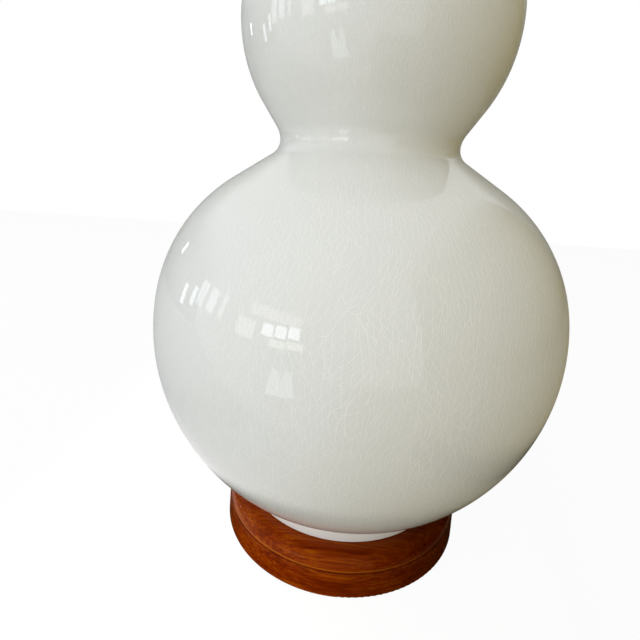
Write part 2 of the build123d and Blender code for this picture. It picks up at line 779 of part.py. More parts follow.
def make_ferrule(side):
    """Builds the ferrule of the leg on this side: 1 for +X and -1 for -X."""
    with BuildPart() as ferrule:
        with BuildSketch(Plane.XY.offset(leg_bottom)):
            with Locations((side * ferrule_x, 0)):
                Circle(ferrule_radius)
        extrude(amount=ferrule_length)
        end_edges = ferrule.edges().filter_by(GeomType.CIRCLE)
        fillet(end_edges, radius=ferrule_edge_round)
        with BuildSketch(Plane.XY.offset(leg_bottom)):
            with Locations((side * ferrule_x, 0)):
                Circle(ferrule_bore_radius)
        extrude(amount=ferrule_length - ferrule_crown, mode=Mode.SUBTRACT)
        with BuildSketch(Plane.XY.offset(leg_bottom)):
            with Locations((side * leg_x, 0)):
                Circle(harp_wire_radius + ferrule_wire_gap)
        extrude(amount=ferrule_length, mode=Mode.SUBTRACT)
    return ferrule


keep("harp_ferrule_right", make_ferrule(1))
keep("harp_ferrule_left", make_ferrule(-1))

# Finial: turned brass, with a blind threaded hole
ball_bottom = finial_bottom + finial_base_thickness + finial_neck_height
ball_centre = ball_bottom + sqrt(finial_ball_radius**2 - finial_neck_radius**2)
ball_start = -degrees(acos(finial_neck_radius / finial_ball_radius))
ball_end = degrees(acos(finial_tip_radius / finial_ball_radius))
tip_centre = ball_centre + sqrt(finial_ball_radius**2 - finial_tip_radius**2)

with BuildPart() as finial:
    with BuildSketch(Plane.XZ):
        with BuildLine():
            base_bead = CenterArc(
                (finial_base_radius - finial_base_thickness / 2, finial_bottom + finial_base_thickness / 2),
                finial_base_thickness / 2, -90, 180,
            )
            ball = CenterArc((0, ball_centre), finial_ball_radius, ball_start, ball_end - ball_start)
            tip = CenterArc((0, tip_centre), finial_tip_radius, 0, 90)
            Line(base_bead @ 1, (finial_neck_radius, finial_bottom + finial_base_thickness))
            Line((finial_neck_radius, finial_bottom + finial_base_thickness), ball @ 0)
            Polyline(
                tip @ 1,
                (0, finial_bottom + finial_bore_depth),
                (stud_radius + running_clearance, finial_bottom + finial_bore_depth),
                (stud_radius + running_clearance, finial_bottom),
                base_bead @ 0,
            )
        make_face()
    revolve(axis=Axis.Z)
keep("finial", finial)

os.makedirs("parts", exist_ok=True)
for name, piece in pieces.items():
    export_step(piece, f"parts/{name}.step")
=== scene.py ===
"""Double gourd table lamp, dressed and lit. Metres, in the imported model's frame."""

from math import acos, cos, degrees, pi, radians, sin, sqrt

import bpy
from mathutils import Matrix, Vector


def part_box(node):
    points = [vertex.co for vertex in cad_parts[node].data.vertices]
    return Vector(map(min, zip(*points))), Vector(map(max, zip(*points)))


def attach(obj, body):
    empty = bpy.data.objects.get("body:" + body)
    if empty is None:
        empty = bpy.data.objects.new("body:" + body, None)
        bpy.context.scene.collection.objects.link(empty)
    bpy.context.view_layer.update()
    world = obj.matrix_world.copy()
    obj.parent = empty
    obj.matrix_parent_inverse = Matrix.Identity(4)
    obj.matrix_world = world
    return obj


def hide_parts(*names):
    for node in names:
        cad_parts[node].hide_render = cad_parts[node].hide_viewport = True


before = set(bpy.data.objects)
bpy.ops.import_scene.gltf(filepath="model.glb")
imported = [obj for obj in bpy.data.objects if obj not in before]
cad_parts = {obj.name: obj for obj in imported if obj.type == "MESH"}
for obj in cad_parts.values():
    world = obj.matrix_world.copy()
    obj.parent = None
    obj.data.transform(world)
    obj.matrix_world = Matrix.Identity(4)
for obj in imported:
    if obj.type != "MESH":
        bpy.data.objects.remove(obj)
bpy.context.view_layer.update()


# Felt under the base. A disc is cut from pressed wool felt, a little smaller than the wood, and is
# glued to its underside, so that the lamp neither slides nor scratches the table.
FELT_GREEN = (0.055, 0.085, 0.06, 1)
FELT_PALE = (0.12, 0.16, 0.12, 1)


def place(tree, kind, inputs=None, **settings):
    """Adds a node, sets its options, and fills its inputs with numbers or with other nodes' sockets."""
    node = tree.nodes.new(kind)
    for option, value in settings.items():
        setattr(node, option, value)
    for socket, value in (inputs or {}).items():
        if isinstance(value, bpy.types.NodeSocket):
            tree.links.new(value, node.inputs[socket])
        else:
            node.inputs[socket].default_value = value
    return node


def result(tree, kind, inputs=None, **settings):
    """Adds a node as place does, and returns its first output."""
    return place(tree, kind, inputs, **settings).outputs[0]


def maths(tree, operation, *values, **settings):
    """The result of one sum on numbers and sockets."""
    return result(tree, "ShaderNodeMath", dict(enumerate(values)), operation=operation, **settings)


def noise(tree, at, scale, detail, **more):
    """A noise pattern's outputs, Fac and Color."""
    return place(tree, "ShaderNodeTexNoise", {"Vector": at, "Scale": scale, "Detail": detail, **more}).outputs


def emptied(owner):
    """The node tree of a material or a world, with nothing in it."""
    owner.use_nodes = True
    owner.node_tree.nodes.clear()
    return owner.node_tree


def new_finish(name, **surface):
    """A material with its surface shader: returns the material, its tree, the shader and the place on the piece."""
    finish = bpy.data.materials.new(name)
    tree = emptied(finish)
    shader = place(tree, "ShaderNodeBsdfPrincipled", surface)
    place(tree, "ShaderNodeOutputMaterial", {"Surface": shader.outputs[0]})
    return finish, tree, shader, place(tree, "ShaderNodeTexCoord").outputs["Object"]


def colour_steps(tree, value, *steps):
    """A colour ramp over a value, from (position, colour) pairs."""
    ramp = place(tree, "ShaderNodeValToRGB", {"Fac": value})
    ends = ramp.color_ramp.elements
    ends[0].position, ends[0].color = steps[0]
    ends[1].position, ends[1].color = steps[-1]
    for position, colour in steps[1:-1]:
        ends.new(position).color = colour
    return ramp.outputs["Color"]


def paint(tree, shader, colour):
    """Gives a shader its colour."""
    tree.links.new(colour, shader.inputs["Base Color"])


def bump(tree, shader, height, distance, strength=1.0):
    """Relief on a shader from a height."""
    relief = result(tree, "ShaderNodeBump", {"Height": height, "Distance": distance, "Strength": strength})
    tree.links.new(relief, shader.inputs["Normal"])


def give(finish, *nodes):
    """Puts a finish on CAD nodes."""
    for node in nodes:
        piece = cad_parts[node]
        piece.data.materials.clear()
        piece.data.materials.append(finish)


felt, tree, shader, spot = new_finish("felt", **{"Roughness": 0.95, "Sheen Weight": 0.4})
fibres = noise(tree, spot, 1400.0, 6.0, Roughness=0.7)["Fac"]
clumps = noise(tree, spot, 160.0, 3.0)["Fac"]
matting = maths(tree, "MULTIPLY", fibres, clumps)
paint(tree, shader, colour_steps(tree, matting, (0.12, FELT_GREEN), (0.42, FELT_PALE)))
bump(tree, shader, fibres, 0.0004)
give(felt, "base_felt")


# Wooden base. A disc of close-grained hardwood is turned with a plain band, a quirk line and a rounded
# shoulder, stained red-brown and lacquered to a high gloss. Its grain runs straight across, left to right.
WOOD_DEEP = (0.115, 0.008, 0.0002, 1)
WOOD_RED = (0.255, 0.030, 0.0002, 1)
WOOD_AMBER = (0.44, 0.090, 0.0008, 1)
# Dark brown of the grain's pores, also used for painted shade in the quirk's crease.
PORE_AND_CREASE_SHADE_BROWN = (0.030, 0.003, 0.0004, 1)
# Part rubbed-through lacquer, part painted highlight: a thin amber line on the lip above the quirk.
LIP_WEAR_AND_HIGHLIGHT = (0.60, 0.17, 0.006, 1)
# Painted shade: the base's colour darkens towards +X, the side that the light misses.
SHADE_SIDE_BROWN = (0.045, 0.004, 0.0002, 1)
LACQUER_AMBER = (1.0, 0.50, 0.22, 1)
SWAY_PER_METRE = (6.0, 20.0, 20.0)
SWAY_REACH = (0.0, 0.012, 0.004)
STREAKS_PER_METRE = (14.0, 520.0, 760.0)
RINGS_PER_METRE = (4.0, 60.0, 150.0)
PORES_PER_METRE = (60.0, 1300.0, 1900.0)
SHADE_SIDE_START, SHADE_SIDE_END = -0.04, 0.08
QUIRK_HEIGHT = 0.0215
QUIRK_HALF_WIDTH = 0.0007
LIP_HEIGHT = 2.2 * QUIRK_HALF_WIDTH


def start_group(name, kind, given, made):
    """An empty node group: returns its tree, the sockets that it is given and the sockets that it makes."""
    group = bpy.data.node_groups.new(name, kind)
    for label, (socket, value) in given.items():
        entry = group.interface.new_socket(name=label, in_out="INPUT", socket_type=socket)
        if value is not None:
            entry.default_value = value
    for label, socket in made.items():
        group.interface.new_socket(name=label, in_out="OUTPUT", socket_type=socket)
    return group, place(group, "NodeGroupInput").outputs, place(group, "NodeGroupOutput").inputs


def fill_group(tree, group, inputs):
    """Places a node group, fills its inputs and returns its outputs."""
    return place(tree, "ShaderNodeGroup", inputs, node_tree=group).outputs


def ranged(tree, value, low, high, start=0.0, end=1.0, smooth=False):
    """Turns a value from low to high into one from start to end, and holds it beyond them."""
    return result(
        tree, "ShaderNodeMapRange",
        {"Value": value, "From Min": low, "From Max": high, "To Min": start, "To Max": end},
        interpolation_type="SMOOTHSTEP" if smooth else "LINEAR",
    )


def blend_colour(tree, amount, first, second):
    """Mixes two colours by an amount."""
    mix = place(tree, "ShaderNodeMix", {"Factor": amount, 6: first, 7: second}, data_type="RGBA")
    return mix.outputs[2]


def scaled(tree, vector, factors):
    """A place with each axis multiplied."""
    return result(tree, "ShaderNodeVectorMath", {0: vector, 1: factors}, operation="MULTIPLY")


def moved(tree, vector, offset):
    """A place with another added."""
    return result(tree, "ShaderNodeVectorMath", {0: vector, 1: offset}, operation="ADD")


def handled_marks():
    """Faint smears and specks that handling leaves on any hard surface, as a mask and as a relief."""
    group, given, made = start_group(
        "handled marks", "ShaderNodeTree",
        {"Place": ("NodeSocketVector", None), "Smear Size": ("NodeSocketFloat", 0.02),
         "Speck Size": ("NodeSocketFloat", 0.0008)},
        {"Mask": "NodeSocketFloat", "Relief": "NodeSocketFloat"},
    )
    smear_scale = maths(group, "DIVIDE", 1.0, given["Smear Size"])
    speck_scale = maths(group, "DIVIDE", 1.0, given["Speck Size"])
    smears = noise(group, given["Place"], smear_scale, 4.0, Distortion=0.6)["Fac"]
    specks = noise(group, given["Place"], speck_scale, 2.0)["Fac"]
    group.links.new(maths(group, "ADD", smears, ranged(group, specks, 0.62, 0.75)), made["Mask"])
    group.links.new(specks, made["Relief"])
    return group


marks_group = handled_marks()


def handle(tree, shader, spot, smear, speck, low, high):
    """Lets handling's marks vary a shader's roughness between two values, and returns the marks."""
    marks = fill_group(tree, marks_group, {"Place": spot, "Smear Size": smear, "Speck Size": speck})
    tree.links.new(ranged(tree, marks["Mask"], 0.0, 1.0, low, high), shader.inputs["Roughness"])
    return marks


lacquer, tree, shader, spot = new_finish(
    "lacquered wood", **{"Roughness": 0.14, "IOR": 1.48, "Specular IOR Level": 0.16, "Specular Tint": LACQUER_AMBER})
sway = noise(tree, scaled(tree, spot, SWAY_PER_METRE), 1.0, 2.0)["Color"]
board = moved(tree, scaled(tree, sway, SWAY_REACH), spot)
streaks = noise(tree, scaled(tree, board, STREAKS_PER_METRE), 1.0, 5.0, Roughness=0.6)["Fac"]
rings = noise(tree, scaled(tree, board, RINGS_PER_METRE), 1.0, 2.0)["Fac"]
pores = noise(tree, scaled(tree, board, PORES_PER_METRE), 1.0, 2.0)["Fac"]
figure = maths(tree, "MULTIPLY_ADD", streaks, 0.6, maths(tree, "MULTIPLY", rings, 0.4))
stain = colour_steps(tree, figure, (0.34, WOOD_DEEP), (0.50, WOOD_RED), (0.67, WOOD_AMBER))
at = place(tree, "ShaderNodeSeparateXYZ", {0: spot}).outputs
above_quirk = maths(tree, "SUBTRACT", at["Z"], QUIRK_HEIGHT)
off_quirk = maths(tree, "ABSOLUTE", above_quirk)
off_lip = maths(tree, "ABSOLUTE", maths(tree, "SUBTRACT", above_quirk, LIP_HEIGHT))
# A thin amber line on the lip just above the quirk: part wear, part painted highlight.
on_lip = ranged(tree, off_lip, 0.0, QUIRK_HALF_WIDTH, 0.7, 0.0, smooth=True)
# Painted shade: the stain goes darker towards +X, the side away from the light.
in_painted_shade = ranged(tree, at["X"], SHADE_SIDE_START, SHADE_SIDE_END, 0.0, 0.72, smooth=True)
in_pores = ranged(tree, pores, 0.60, 0.72, 0.0, 0.45)
# Painted shade: a dark line along the quirk's crease.
in_quirk_shade = ranged(tree, off_quirk, 0.0, QUIRK_HALF_WIDTH, 0.5, 0.0, smooth=True)
rubbed_and_highlit = blend_colour(tree, on_lip, stain, LIP_WEAR_AND_HIGHLIGHT)
shade_painted = blend_colour(tree, in_painted_shade, rubbed_and_highlit, SHADE_SIDE_BROWN)
grained = blend_colour(tree, in_pores, shade_painted, PORE_AND_CREASE_SHADE_BROWN)
paint(tree, shader, blend_colour(tree, in_quirk_shade, grained, PORE_AND_CREASE_SHADE_BROWN))
handle(tree, shader, spot, 0.03, 0.0009, 0.06, 0.15)
bump(tree, shader, streaks, 0.00003, 0.5)
give(lacquer, "wood_base")


# Cord bushing. A flanged sleeve of black moulded plastic is pressed into the hole at the back of the
# base, so that the wood's edge can't chafe the cord.
BUSHING_BLACK = (0.020, 0.017, 0.015, 1)
BUSHING_GREY = (0.040, 0.036, 0.032, 1)


def moulded(name, dark, pale, roughness):
    """A moulded plastic with flow marks and a fine satin skin."""
    finish, tree, shader, spot = new_finish(name, Roughness=roughness)
    flow = noise(tree, spot, 220.0, 3.0)["Fac"]
    paint(tree, shader, colour_steps(tree, flow, (0.35, dark), (0.7, pale)))
    marks = handle(tree, shader, spot, 0.006, 0.0004, roughness * 0.8, roughness * 1.35)
    bump(tree, shader, marks["Relief"], 0.00002)
    return finish


give(moulded("moulded bushing", BUSHING_BLACK, BUSHING_GREY, 0.42), "cord_bushing")


# Pipe, washers and nut. A threaded steel pipe runs from the base to the socket and carries the lead. A
# washer, a split spring washer and a hexagon nut draw the whole lamp together against the wood.
ZINC_PALE = (0.62, 0.63, 0.64, 1)
ZINC_DULL = (0.42, 0.43, 0.45, 1)
PIPE_RADIUS = 0.0048
PIPE_BORE = 0.0035
PIPE_THREAD_PITCH = 0.00094
PIPE_THREAD_DEPTH = 0.00045
PIPE_LOW_GAP = 0.0005
PIPE_HIGH_GAP = 0.0006
PIPE_THREAD_UNDER_CAP = 0.004
SMOOTH_ANGLE = 35.0
WELD_DISTANCE = 2e-6


def plated(name, pale, dull, roughness, brushing=(1.0, 1.0, 1.0)):
    """A metal with a drawn or turned grain and the smears of handling."""
    finish, tree, shader, spot = new_finish(name, Metallic=1.0, Roughness=roughness)
    grain = noise(tree, scaled(tree, spot, brushing), 900.0, 4.0, Roughness=0.65)["Fac"]
    marks = handle(tree, shader, spot, 0.012, 0.0005, roughness * 0.7, roughness * 1.6)
    tone = maths(tree, "MULTIPLY", grain, marks["Mask"])
    paint(tree, shader, colour_steps(tree, tone, (0.10, pale), (0.55, dull)))
    bump(tree, shader, grain, 0.00001, 0.6)
    return finish


zinc = plated("zinc plate", ZINC_PALE, ZINC_DULL, 0.28)
give(zinc, "bottom_washer", "lock_washer", "bottom_nut", "cap_set_screw", "switch_shaft")


def end_form(group, form, given, made):
    """Ends a tree that makes a form: its instances become real and take the finish."""
    real = result(group, "GeometryNodeRealizeInstances", {0: form})
    dressed = result(group, "GeometryNodeSetMaterial", {"Geometry": real, "Material": given["Finish"]})
    group.links.new(dressed, made["Form"])
    return group


def lathe_tree():
    """Turns an outline, drawn in the XZ plane, round the Z axis."""
    group, given, made = start_group(
        "turned form", "GeometryNodeTree",
        {"Outline": ("NodeSocketGeometry", None), "Steps Round": ("NodeSocketInt", 64),
         "Turning Radius": ("NodeSocketFloat", 0.01), "Finish": ("NodeSocketMaterial", None)},
        {"Form": "NodeSocketGeometry"},
    )
    at = place(group, "ShaderNodeSeparateXYZ", {0: result(group, "GeometryNodeInputPosition")}).outputs
    reach = maths(group, "SUBTRACT", at["X"], given["Turning Radius"])
    drop = maths(group, "MULTIPLY", at["Z"], -1.0)
    flat = result(group, "ShaderNodeCombineXYZ", {0: reach, 1: drop})
    laid = result(group, "GeometryNodeSetPosition", {"Geometry": given["Outline"], "Position": flat})
    edge = result(group, "GeometryNodeMeshToCurve", {0: laid})
    ring = result(
        group, "GeometryNodeCurvePrimitiveCircle",
        {"Resolution": given["Steps Round"], "Radius": given["Turning Radius"]},
    )
    swept = result(group, "GeometryNodeCurveToMesh", {"Curve": ring, "Profile Curve": edge})
    welded = result(group, "GeometryNodeMergeByDistance", {"Geometry": swept, "Distance": WELD_DISTANCE})
    return end_form(group, welded, given, made)


def thread_tree():
    """Winds a ridge round the Z axis: a screw thread between two heights."""
    group, given, made = start_group(
        "screw thread", "GeometryNodeTree",
        {"Base": ("NodeSocketGeometry", None), "Root Radius": ("NodeSocketFloat", 0.003),
         "Depth": ("NodeSocketFloat", 0.0004), "Pitch": ("NodeSocketFloat", 0.001),
         "Bottom": ("NodeSocketFloat", 0.0), "Turns": ("NodeSocketFloat", 8.0),
         "Steps a Turn": ("NodeSocketInt", 40), "Finish": ("NodeSocketMaterial", None)},
        {"Form": "NodeSocketGeometry"},
    )
    helix = result(
        group, "GeometryNodeCurveSpiral",
        {"Resolution": given["Steps a Turn"], "Rotations": given["Turns"], "Start Radius": given["Root Radius"],
         "End Radius": given["Root Radius"], "Height": maths(group, "MULTIPLY", given["Pitch"], given["Turns"])},
    )
    lift = result(group, "ShaderNodeCombineXYZ", {2: given["Bottom"]})
    raised = result(group, "GeometryNodeSetPosition", {"Geometry": helix, "Offset": lift})
    upright = place(group, "GeometryNodeSetCurveNormal", {0: raised})
    upright.mode = "Z_UP"
    tooth = result(group, "GeometryNodeCurvePrimitiveCircle", {"Resolution": 3, "Radius": given["Depth"]})
    ridge = result(
        group, "GeometryNodeCurveToMesh",
        {"Curve": upright.outputs[0], "Profile Curve": tooth, "Fill Caps": True},
    )
    return end_form(group, ridge, given, made)


lathe, thread = lathe_tree(), thread_tree()


def enclosed(mesh):
    """Six times the volume inside a mesh, below 0 where its faces look inwards."""
    mesh.calc_loop_triangles()
    corners = [[mesh.vertices[index].co for index in face.vertices] for face in mesh.loop_triangles]
    return sum(first.dot(second.cross(third)) for first, second, third in corners)


def evaluated_mesh(piece):
    """A plain mesh of an object with its modifiers applied."""
    return bpy.data.meshes.new_from_object(piece.evaluated_get(bpy.context.evaluated_depsgraph_get()))


def grown(name, start, tree, settings):
    """Grows a plain mesh object from a start mesh by a Geometry Nodes tree with these input values."""
    seed = bpy.data.objects.new(name + "_start", start)
    bpy.context.scene.collection.objects.link(seed)
    maker = seed.modifiers.new("maker", "NODES")
    maker.node_group = tree
    sockets = {item.name: item.identifier for item in tree.interface.items_tree if item.in_out == "INPUT"}
    for label, value in settings.items():
        maker[sockets[label]] = value
    mesh = evaluated_mesh(seed)
    mesh.name = name
    bpy.data.objects.remove(seed)
    if enclosed(mesh) < 0:
        mesh.flip_normals()
    mesh.shade_smooth()
    mesh.set_sharp_from_angle(angle=radians(SMOOTH_ANGLE))
    piece = bpy.data.objects.new(name, mesh)
    bpy.context.scene.collection.objects.link(piece)
    return piece


def turned(name, outline, steps, finish):
    """Turns a closed outline of (radius, height) points into a solid of revolution."""
    start = bpy.data.meshes.new(name + "_outline")
    last = len(outline) - 1
    ends_on_axis = outline[0][0] == 0 and outline[-1][0] == 0
    edges = [(i, i + 1) for i in range(last)] + ([] if ends_on_axis else [(last, 0)])
    start.from_pydata([(reach, 0, height) for reach, height in outline], edges, [])
    widest = max(reach for reach, height in outline)
    return grown(name, start, lathe, {"Steps Round": steps, "Turning Radius": widest, "Finish": finish})


def joined(name, *pieces):
    """Joins pieces into one object with one finish."""
    first = pieces[0]
    with bpy.context.temp_override(
        active_object=first, selected_editable_objects=list(pieces), selected_objects=list(pieces),
    ):
        bpy.ops.object.join()
    first.name = first.data.name = name
    return first


def threaded(name, root_radius, depth, pitch, bottom, top, finish):
    """A screw thread as a ridge from bottom to top, with its crest at the root radius plus the depth."""
    return grown(
        name, bpy.data.meshes.new(name + "_start"), thread,
        {"Root Radius": root_radius, "Depth": depth, "Pitch": pitch, "Bottom": bottom,
         "Turns": (top - bottom) / pitch, "Steps a Turn": 40, "Finish": finish},
    )


pipe_low, pipe_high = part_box("lamp_pipe")
nut_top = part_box("bottom_nut")[1].z
cap_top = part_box("vase_cap")[1].z
pipe_root = PIPE_RADIUS - PIPE_THREAD_DEPTH
pipe_outline = [
    (PIPE_BORE, pipe_low.z), (pipe_root, pipe_low.z), (pipe_root, pipe_high.z), (PIPE_BORE, pipe_high.z),
]
pipe_core = turned("pipe_core", pipe_outline, 48, zinc)
pipe_ends = [
    threaded("pipe_end", pipe_root, PIPE_THREAD_DEPTH, PIPE_THREAD_PITCH, bottom, top, zinc)
    for bottom, top in (
        (pipe_low.z + PIPE_LOW_GAP, nut_top), (cap_top - PIPE_THREAD_UNDER_CAP, pipe_high.z - PIPE_HIGH_GAP),
    )
]
pipe = joined("threaded_pipe", pipe_core, *pipe_ends)
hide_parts("lamp_pipe")
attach(pipe, "lamp")


# Ceramic body. The double gourd is slip-cast in one shell with a foot ring, coated all over with a thick
# ivory glaze and fired. The glaze shrinks more than the clay, so it crazes into a fine net of lines.
BODY_WALL = 0.0065
FOOT_RADIUS = 0.076
FOOT_WALL = 0.0104
FOOT_COVE = 0.002
FOOT_RING_WIDTH = 0.010
FOOT_RING_DEPTH = 0.008
FOOT_EDGE = 0.0012
FLOOR_THICKNESS = 0.008
BELLY_RADIUS = 0.140
SHOULDER_RADIUS = 0.113
SHOULDER_START = 13.3
SHOULDER_END = 57.8
WAIST_RADIUS = 0.0577
WAIST_LOWER_COVE = 0.010
WAIST_UPPER_COVE = 0.0135
FLARE_ANGLE = 33.6
FLARE_LENGTH = 0.0168
BULB_RADIUS = 0.0765
COLLAR_RADIUS = 0.037
COLLAR_COVE = 0.004
COLLAR_WALL = 0.004
COLLAR_EDGE = 0.0015
PIPE_HOLE = 0.0051
FACE_STEP, INSIDE_STEP, RIM_STEP, FOOT_STEP = 0.0021, 0.008, 0.0005, 0.0004
GLAZE_IVORY = (0.750, 0.750, 0.705, 1)
GLAZE_COOL = (0.715, 0.725, 0.700, 1)
CRAZE_CREAM = (0.94, 0.94, 0.90, 1)
# Painted reflection of the red-brown base and painted shade in the crease where the belly meets the foot.
WOOD_REFLECTION_BROWN = (0.60, 0.39, 0.29, 1)
# The foot ring's colour: partly its paler glaze, partly painted light that lifts the shade under the belly.
FOOT_PALE_AND_LIT = (0.94, 0.93, 0.90, 1)
CRAZE_LINE = 0.00027
CRAZE_WANDER = (0.020, 0.020, 0.0)
CRAZE_NETS = (  # each net's cell, slenderness and lean in degrees, and the patches where it fades in
    (0.0032, 0.15, 3.0, 0.25, 0.35),
    (0.0034, 0.22, 38.0, 0.42, 0.54),
    (0.0033, 0.24, -36.0, 0.56, 0.44),
)
# Painted light: the craze lines are drawn fainter on the -X side, where the light washes them out.
LIGHT_WASH_FULL, LIGHT_WASH_GONE = -0.10, -0.01
GLAZE_END = 0.002
REFLECTION_HALF_WIDTH = 0.0016
body_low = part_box("ceramic_body")[0]


def polar(radius, angle):
    """The point of an outline's plane at this radius and angle, in degrees."""
    return Vector((radius * cos(radians(angle)), radius * sin(radians(angle))))


def arc(centre, radius, start, sweep, step):
    """Points along an arc, about one step apart."""
    count = max(2, round(abs(radians(sweep)) * radius / step))
    return [centre + polar(radius, start + sweep * i / count) for i in range(count + 1)]


def gourd_face(inset, start, step):
    """The gourd's face from the belly up to the collar, set in by a wall."""
    return (
        arc(belly_centre, BELLY_RADIUS - inset, start, SHOULDER_START - start, step)
        + arc(shoulder_centre, SHOULDER_RADIUS - inset, SHOULDER_START, SHOULDER_END - SHOULDER_START, step)[1:]
        + arc(lower_centre, WAIST_LOWER_COVE + inset, 180 + SHOULDER_END, -SHOULDER_END, step / 2)
        + arc(upper_centre, WAIST_UPPER_COVE + inset, 180, -FLARE_ANGLE, step / 2)[1:]
        + arc(bulb_centre, BULB_RADIUS - inset, -FLARE_ANGLE, FLARE_ANGLE + bulb_end, step)
        + arc(collar_centre, COLLAR_COVE + inset, 180 + bulb_end, -bulb_end, step / 3)[1:]
    )


foot_top = body_low.z + FOOT_WALL
belly_rise = sqrt((BELLY_RADIUS + FOOT_COVE) ** 2 - (FOOT_RADIUS + FOOT_COVE) ** 2)
belly_centre = Vector((0, foot_top + belly_rise))
shoulder_centre = belly_centre + polar(BELLY_RADIUS - SHOULDER_RADIUS, SHOULDER_START)
shoulder_edge = shoulder_centre + polar(SHOULDER_RADIUS, SHOULDER_END)
slope_reach = shoulder_edge.x - WAIST_LOWER_COVE * (1 - cos(radians(SHOULDER_END))) - WAIST_RADIUS
slope_end = shoulder_edge + polar(slope_reach / sin(radians(SHOULDER_END)), SHOULDER_END + 90)
lower_centre = slope_end + polar(WAIST_LOWER_COVE, SHOULDER_END)
upper_centre = Vector((WAIST_RADIUS + WAIST_UPPER_COVE, lower_centre.y))
flare_start = upper_centre + polar(WAIST_UPPER_COVE, 180 - FLARE_ANGLE)
bulb_centre = flare_start + polar(FLARE_LENGTH, 90 - FLARE_ANGLE) + polar(BULB_RADIUS, 180 - FLARE_ANGLE)
bulb_end = degrees(acos((COLLAR_RADIUS + COLLAR_COVE - bulb_centre.x) / (BULB_RADIUS + COLLAR_COVE)))
collar_centre = bulb_centre + polar(BULB_RADIUS + COLLAR_COVE, bulb_end)
ring_top = body_low.z + FOOT_RING_DEPTH
ring_inside = FOOT_RADIUS - FOOT_RING_WIDTH
floor_top = ring_top + FLOOR_THICKNESS
belly_inner = BELLY_RADIUS - BODY_WALL
floor_angle = -degrees(acos(sqrt(1 - ((belly_centre.y - floor_top) / belly_inner) ** 2)))
cove_angle = -degrees(acos((FOOT_RADIUS + FOOT_COVE) / (BELLY_RADIUS + FOOT_COVE)))
rim_height = collar_centre.y + COLLAR_WALL - COLLAR_EDGE
bore = COLLAR_RADIUS - BODY_WALL
gourd_outline = (
    arc(Vector((FOOT_RADIUS - FOOT_EDGE, body_low.z + FOOT_EDGE)), FOOT_EDGE, -90, 90, FOOT_STEP)
    + arc(Vector((FOOT_RADIUS + FOOT_COVE, foot_top)), FOOT_COVE, 180, cove_angle, RIM_STEP)
    + gourd_face(0, cove_angle, FACE_STEP)[1:]
    + arc(Vector((COLLAR_RADIUS - COLLAR_EDGE, rim_height)), COLLAR_EDGE, 0, 90, RIM_STEP)
    + arc(Vector((bore + COLLAR_EDGE, rim_height)), COLLAR_EDGE, 90, 90, RIM_STEP)
    + gourd_face(BODY_WALL, floor_angle, INSIDE_STEP)[::-1]
    + [Vector((PIPE_HOLE, floor_top)), Vector((PIPE_HOLE, ring_top)), Vector((ring_inside, ring_top))]
    + arc(Vector((ring_inside + FOOT_EDGE, body_low.z + FOOT_EDGE)), FOOT_EDGE, 180, 90, FOOT_STEP)
)


def crazing():
    """A net of fine lines of one width in a glaze's flat: long cells of one size that lean one way."""
    group, given, made = start_group(
        "crazing", "ShaderNodeTree",
        {"Flat Place": ("NodeSocketVector", None), "Cell": ("NodeSocketFloat", 0.004),
         "Slenderness": ("NodeSocketFloat", 0.2), "Lean": ("NodeSocketFloat", 0.0),
         "Line": ("NodeSocketFloat", 0.0003)},
        {"Mask": "NodeSocketFloat"},
    )
    near = 0.012
    leant = result(
        group, "ShaderNodeVectorRotate", {"Vector": given["Flat Place"], "Angle": given["Lean"]},
        rotation_type="Z_AXIS",
    )
    drawn = scaled(group, leant, result(group, "ShaderNodeCombineXYZ", {0: 1.0, 1: given["Slenderness"], 2: 1.0}))
    per_cell = maths(group, "DIVIDE", 1.0, given["Cell"])
    step = maths(group, "MULTIPLY", given["Cell"], near)
    beside = moved(group, drawn, result(group, "ShaderNodeCombineXYZ", {1: step}))
    here, there = (
        place(
            group, "ShaderNodeTexVoronoi", {"Vector": at, "Scale": per_cell, "Randomness": 0.95},
            feature="DISTANCE_TO_EDGE", voronoi_dimensions="2D",
        ).outputs["Distance"]
        for at in (drawn, beside)
    )
    slope = maths(group, "DIVIDE", maths(group, "SUBTRACT", there, here), near)
    slope_squared = maths(group, "MULTIPLY", slope, slope, use_clamp=True)
    slender_squared = maths(group, "MULTIPLY", given["Slenderness"], given["Slenderness"])
    kept = maths(group, "MULTIPLY", slope_squared, maths(group, "SUBTRACT", 1.0, slender_squared))
    steepness = maths(group, "SQRT", maths(group, "SUBTRACT", 1.0, kept))
    reach = maths(group, "DIVIDE", maths(group, "MULTIPLY", here, given["Cell"]), steepness)
    group.links.new(ranged(group, reach, 0.0, given["Line"], 1.0, 0.0, smooth=True), made["Mask"])
    return group


craze_group = crazing()
glaze, tree, shader, spot = new_finish(
    "crackle glaze",
    **{"Roughness": 0.5, "Specular IOR Level": 0.0, "Coat Weight": 1.0, "Coat Roughness": 0.012, "Coat IOR": 1.5})
at = place(tree, "ShaderNodeSeparateXYZ", {0: spot}).outputs
turn = maths(tree, "ARCTAN2", at["X"], maths(tree, "MULTIPLY", at["Y"], -1.0))
unrolled = result(tree, "ShaderNodeCombineXYZ", {0: maths(tree, "MULTIPLY", turn, BELLY_RADIUS), 1: at["Z"]})
drift = noise(tree, spot, 22.0, 3.0, Roughness=0.32)["Color"]
centred = result(tree, "ShaderNodeVectorMath", {0: drift, 1: (0.5, 0.5, 0.5)}, operation="SUBTRACT")
wandered = moved(tree, scaled(tree, centred, CRAZE_WANDER), unrolled)
patches = noise(tree, spot, 30.0, 2.0)["Fac"]
nets = []
for cell, slenderness, lean, low, high in CRAZE_NETS:
    lines = fill_group(
        tree, craze_group,
        {"Flat Place": wandered, "Cell": cell, "Slenderness": slenderness, "Lean": radians(lean), "Line": CRAZE_LINE},
    )["Mask"]
    nets.append(maths(tree, "MULTIPLY", lines, ranged(tree, patches, low, high)))
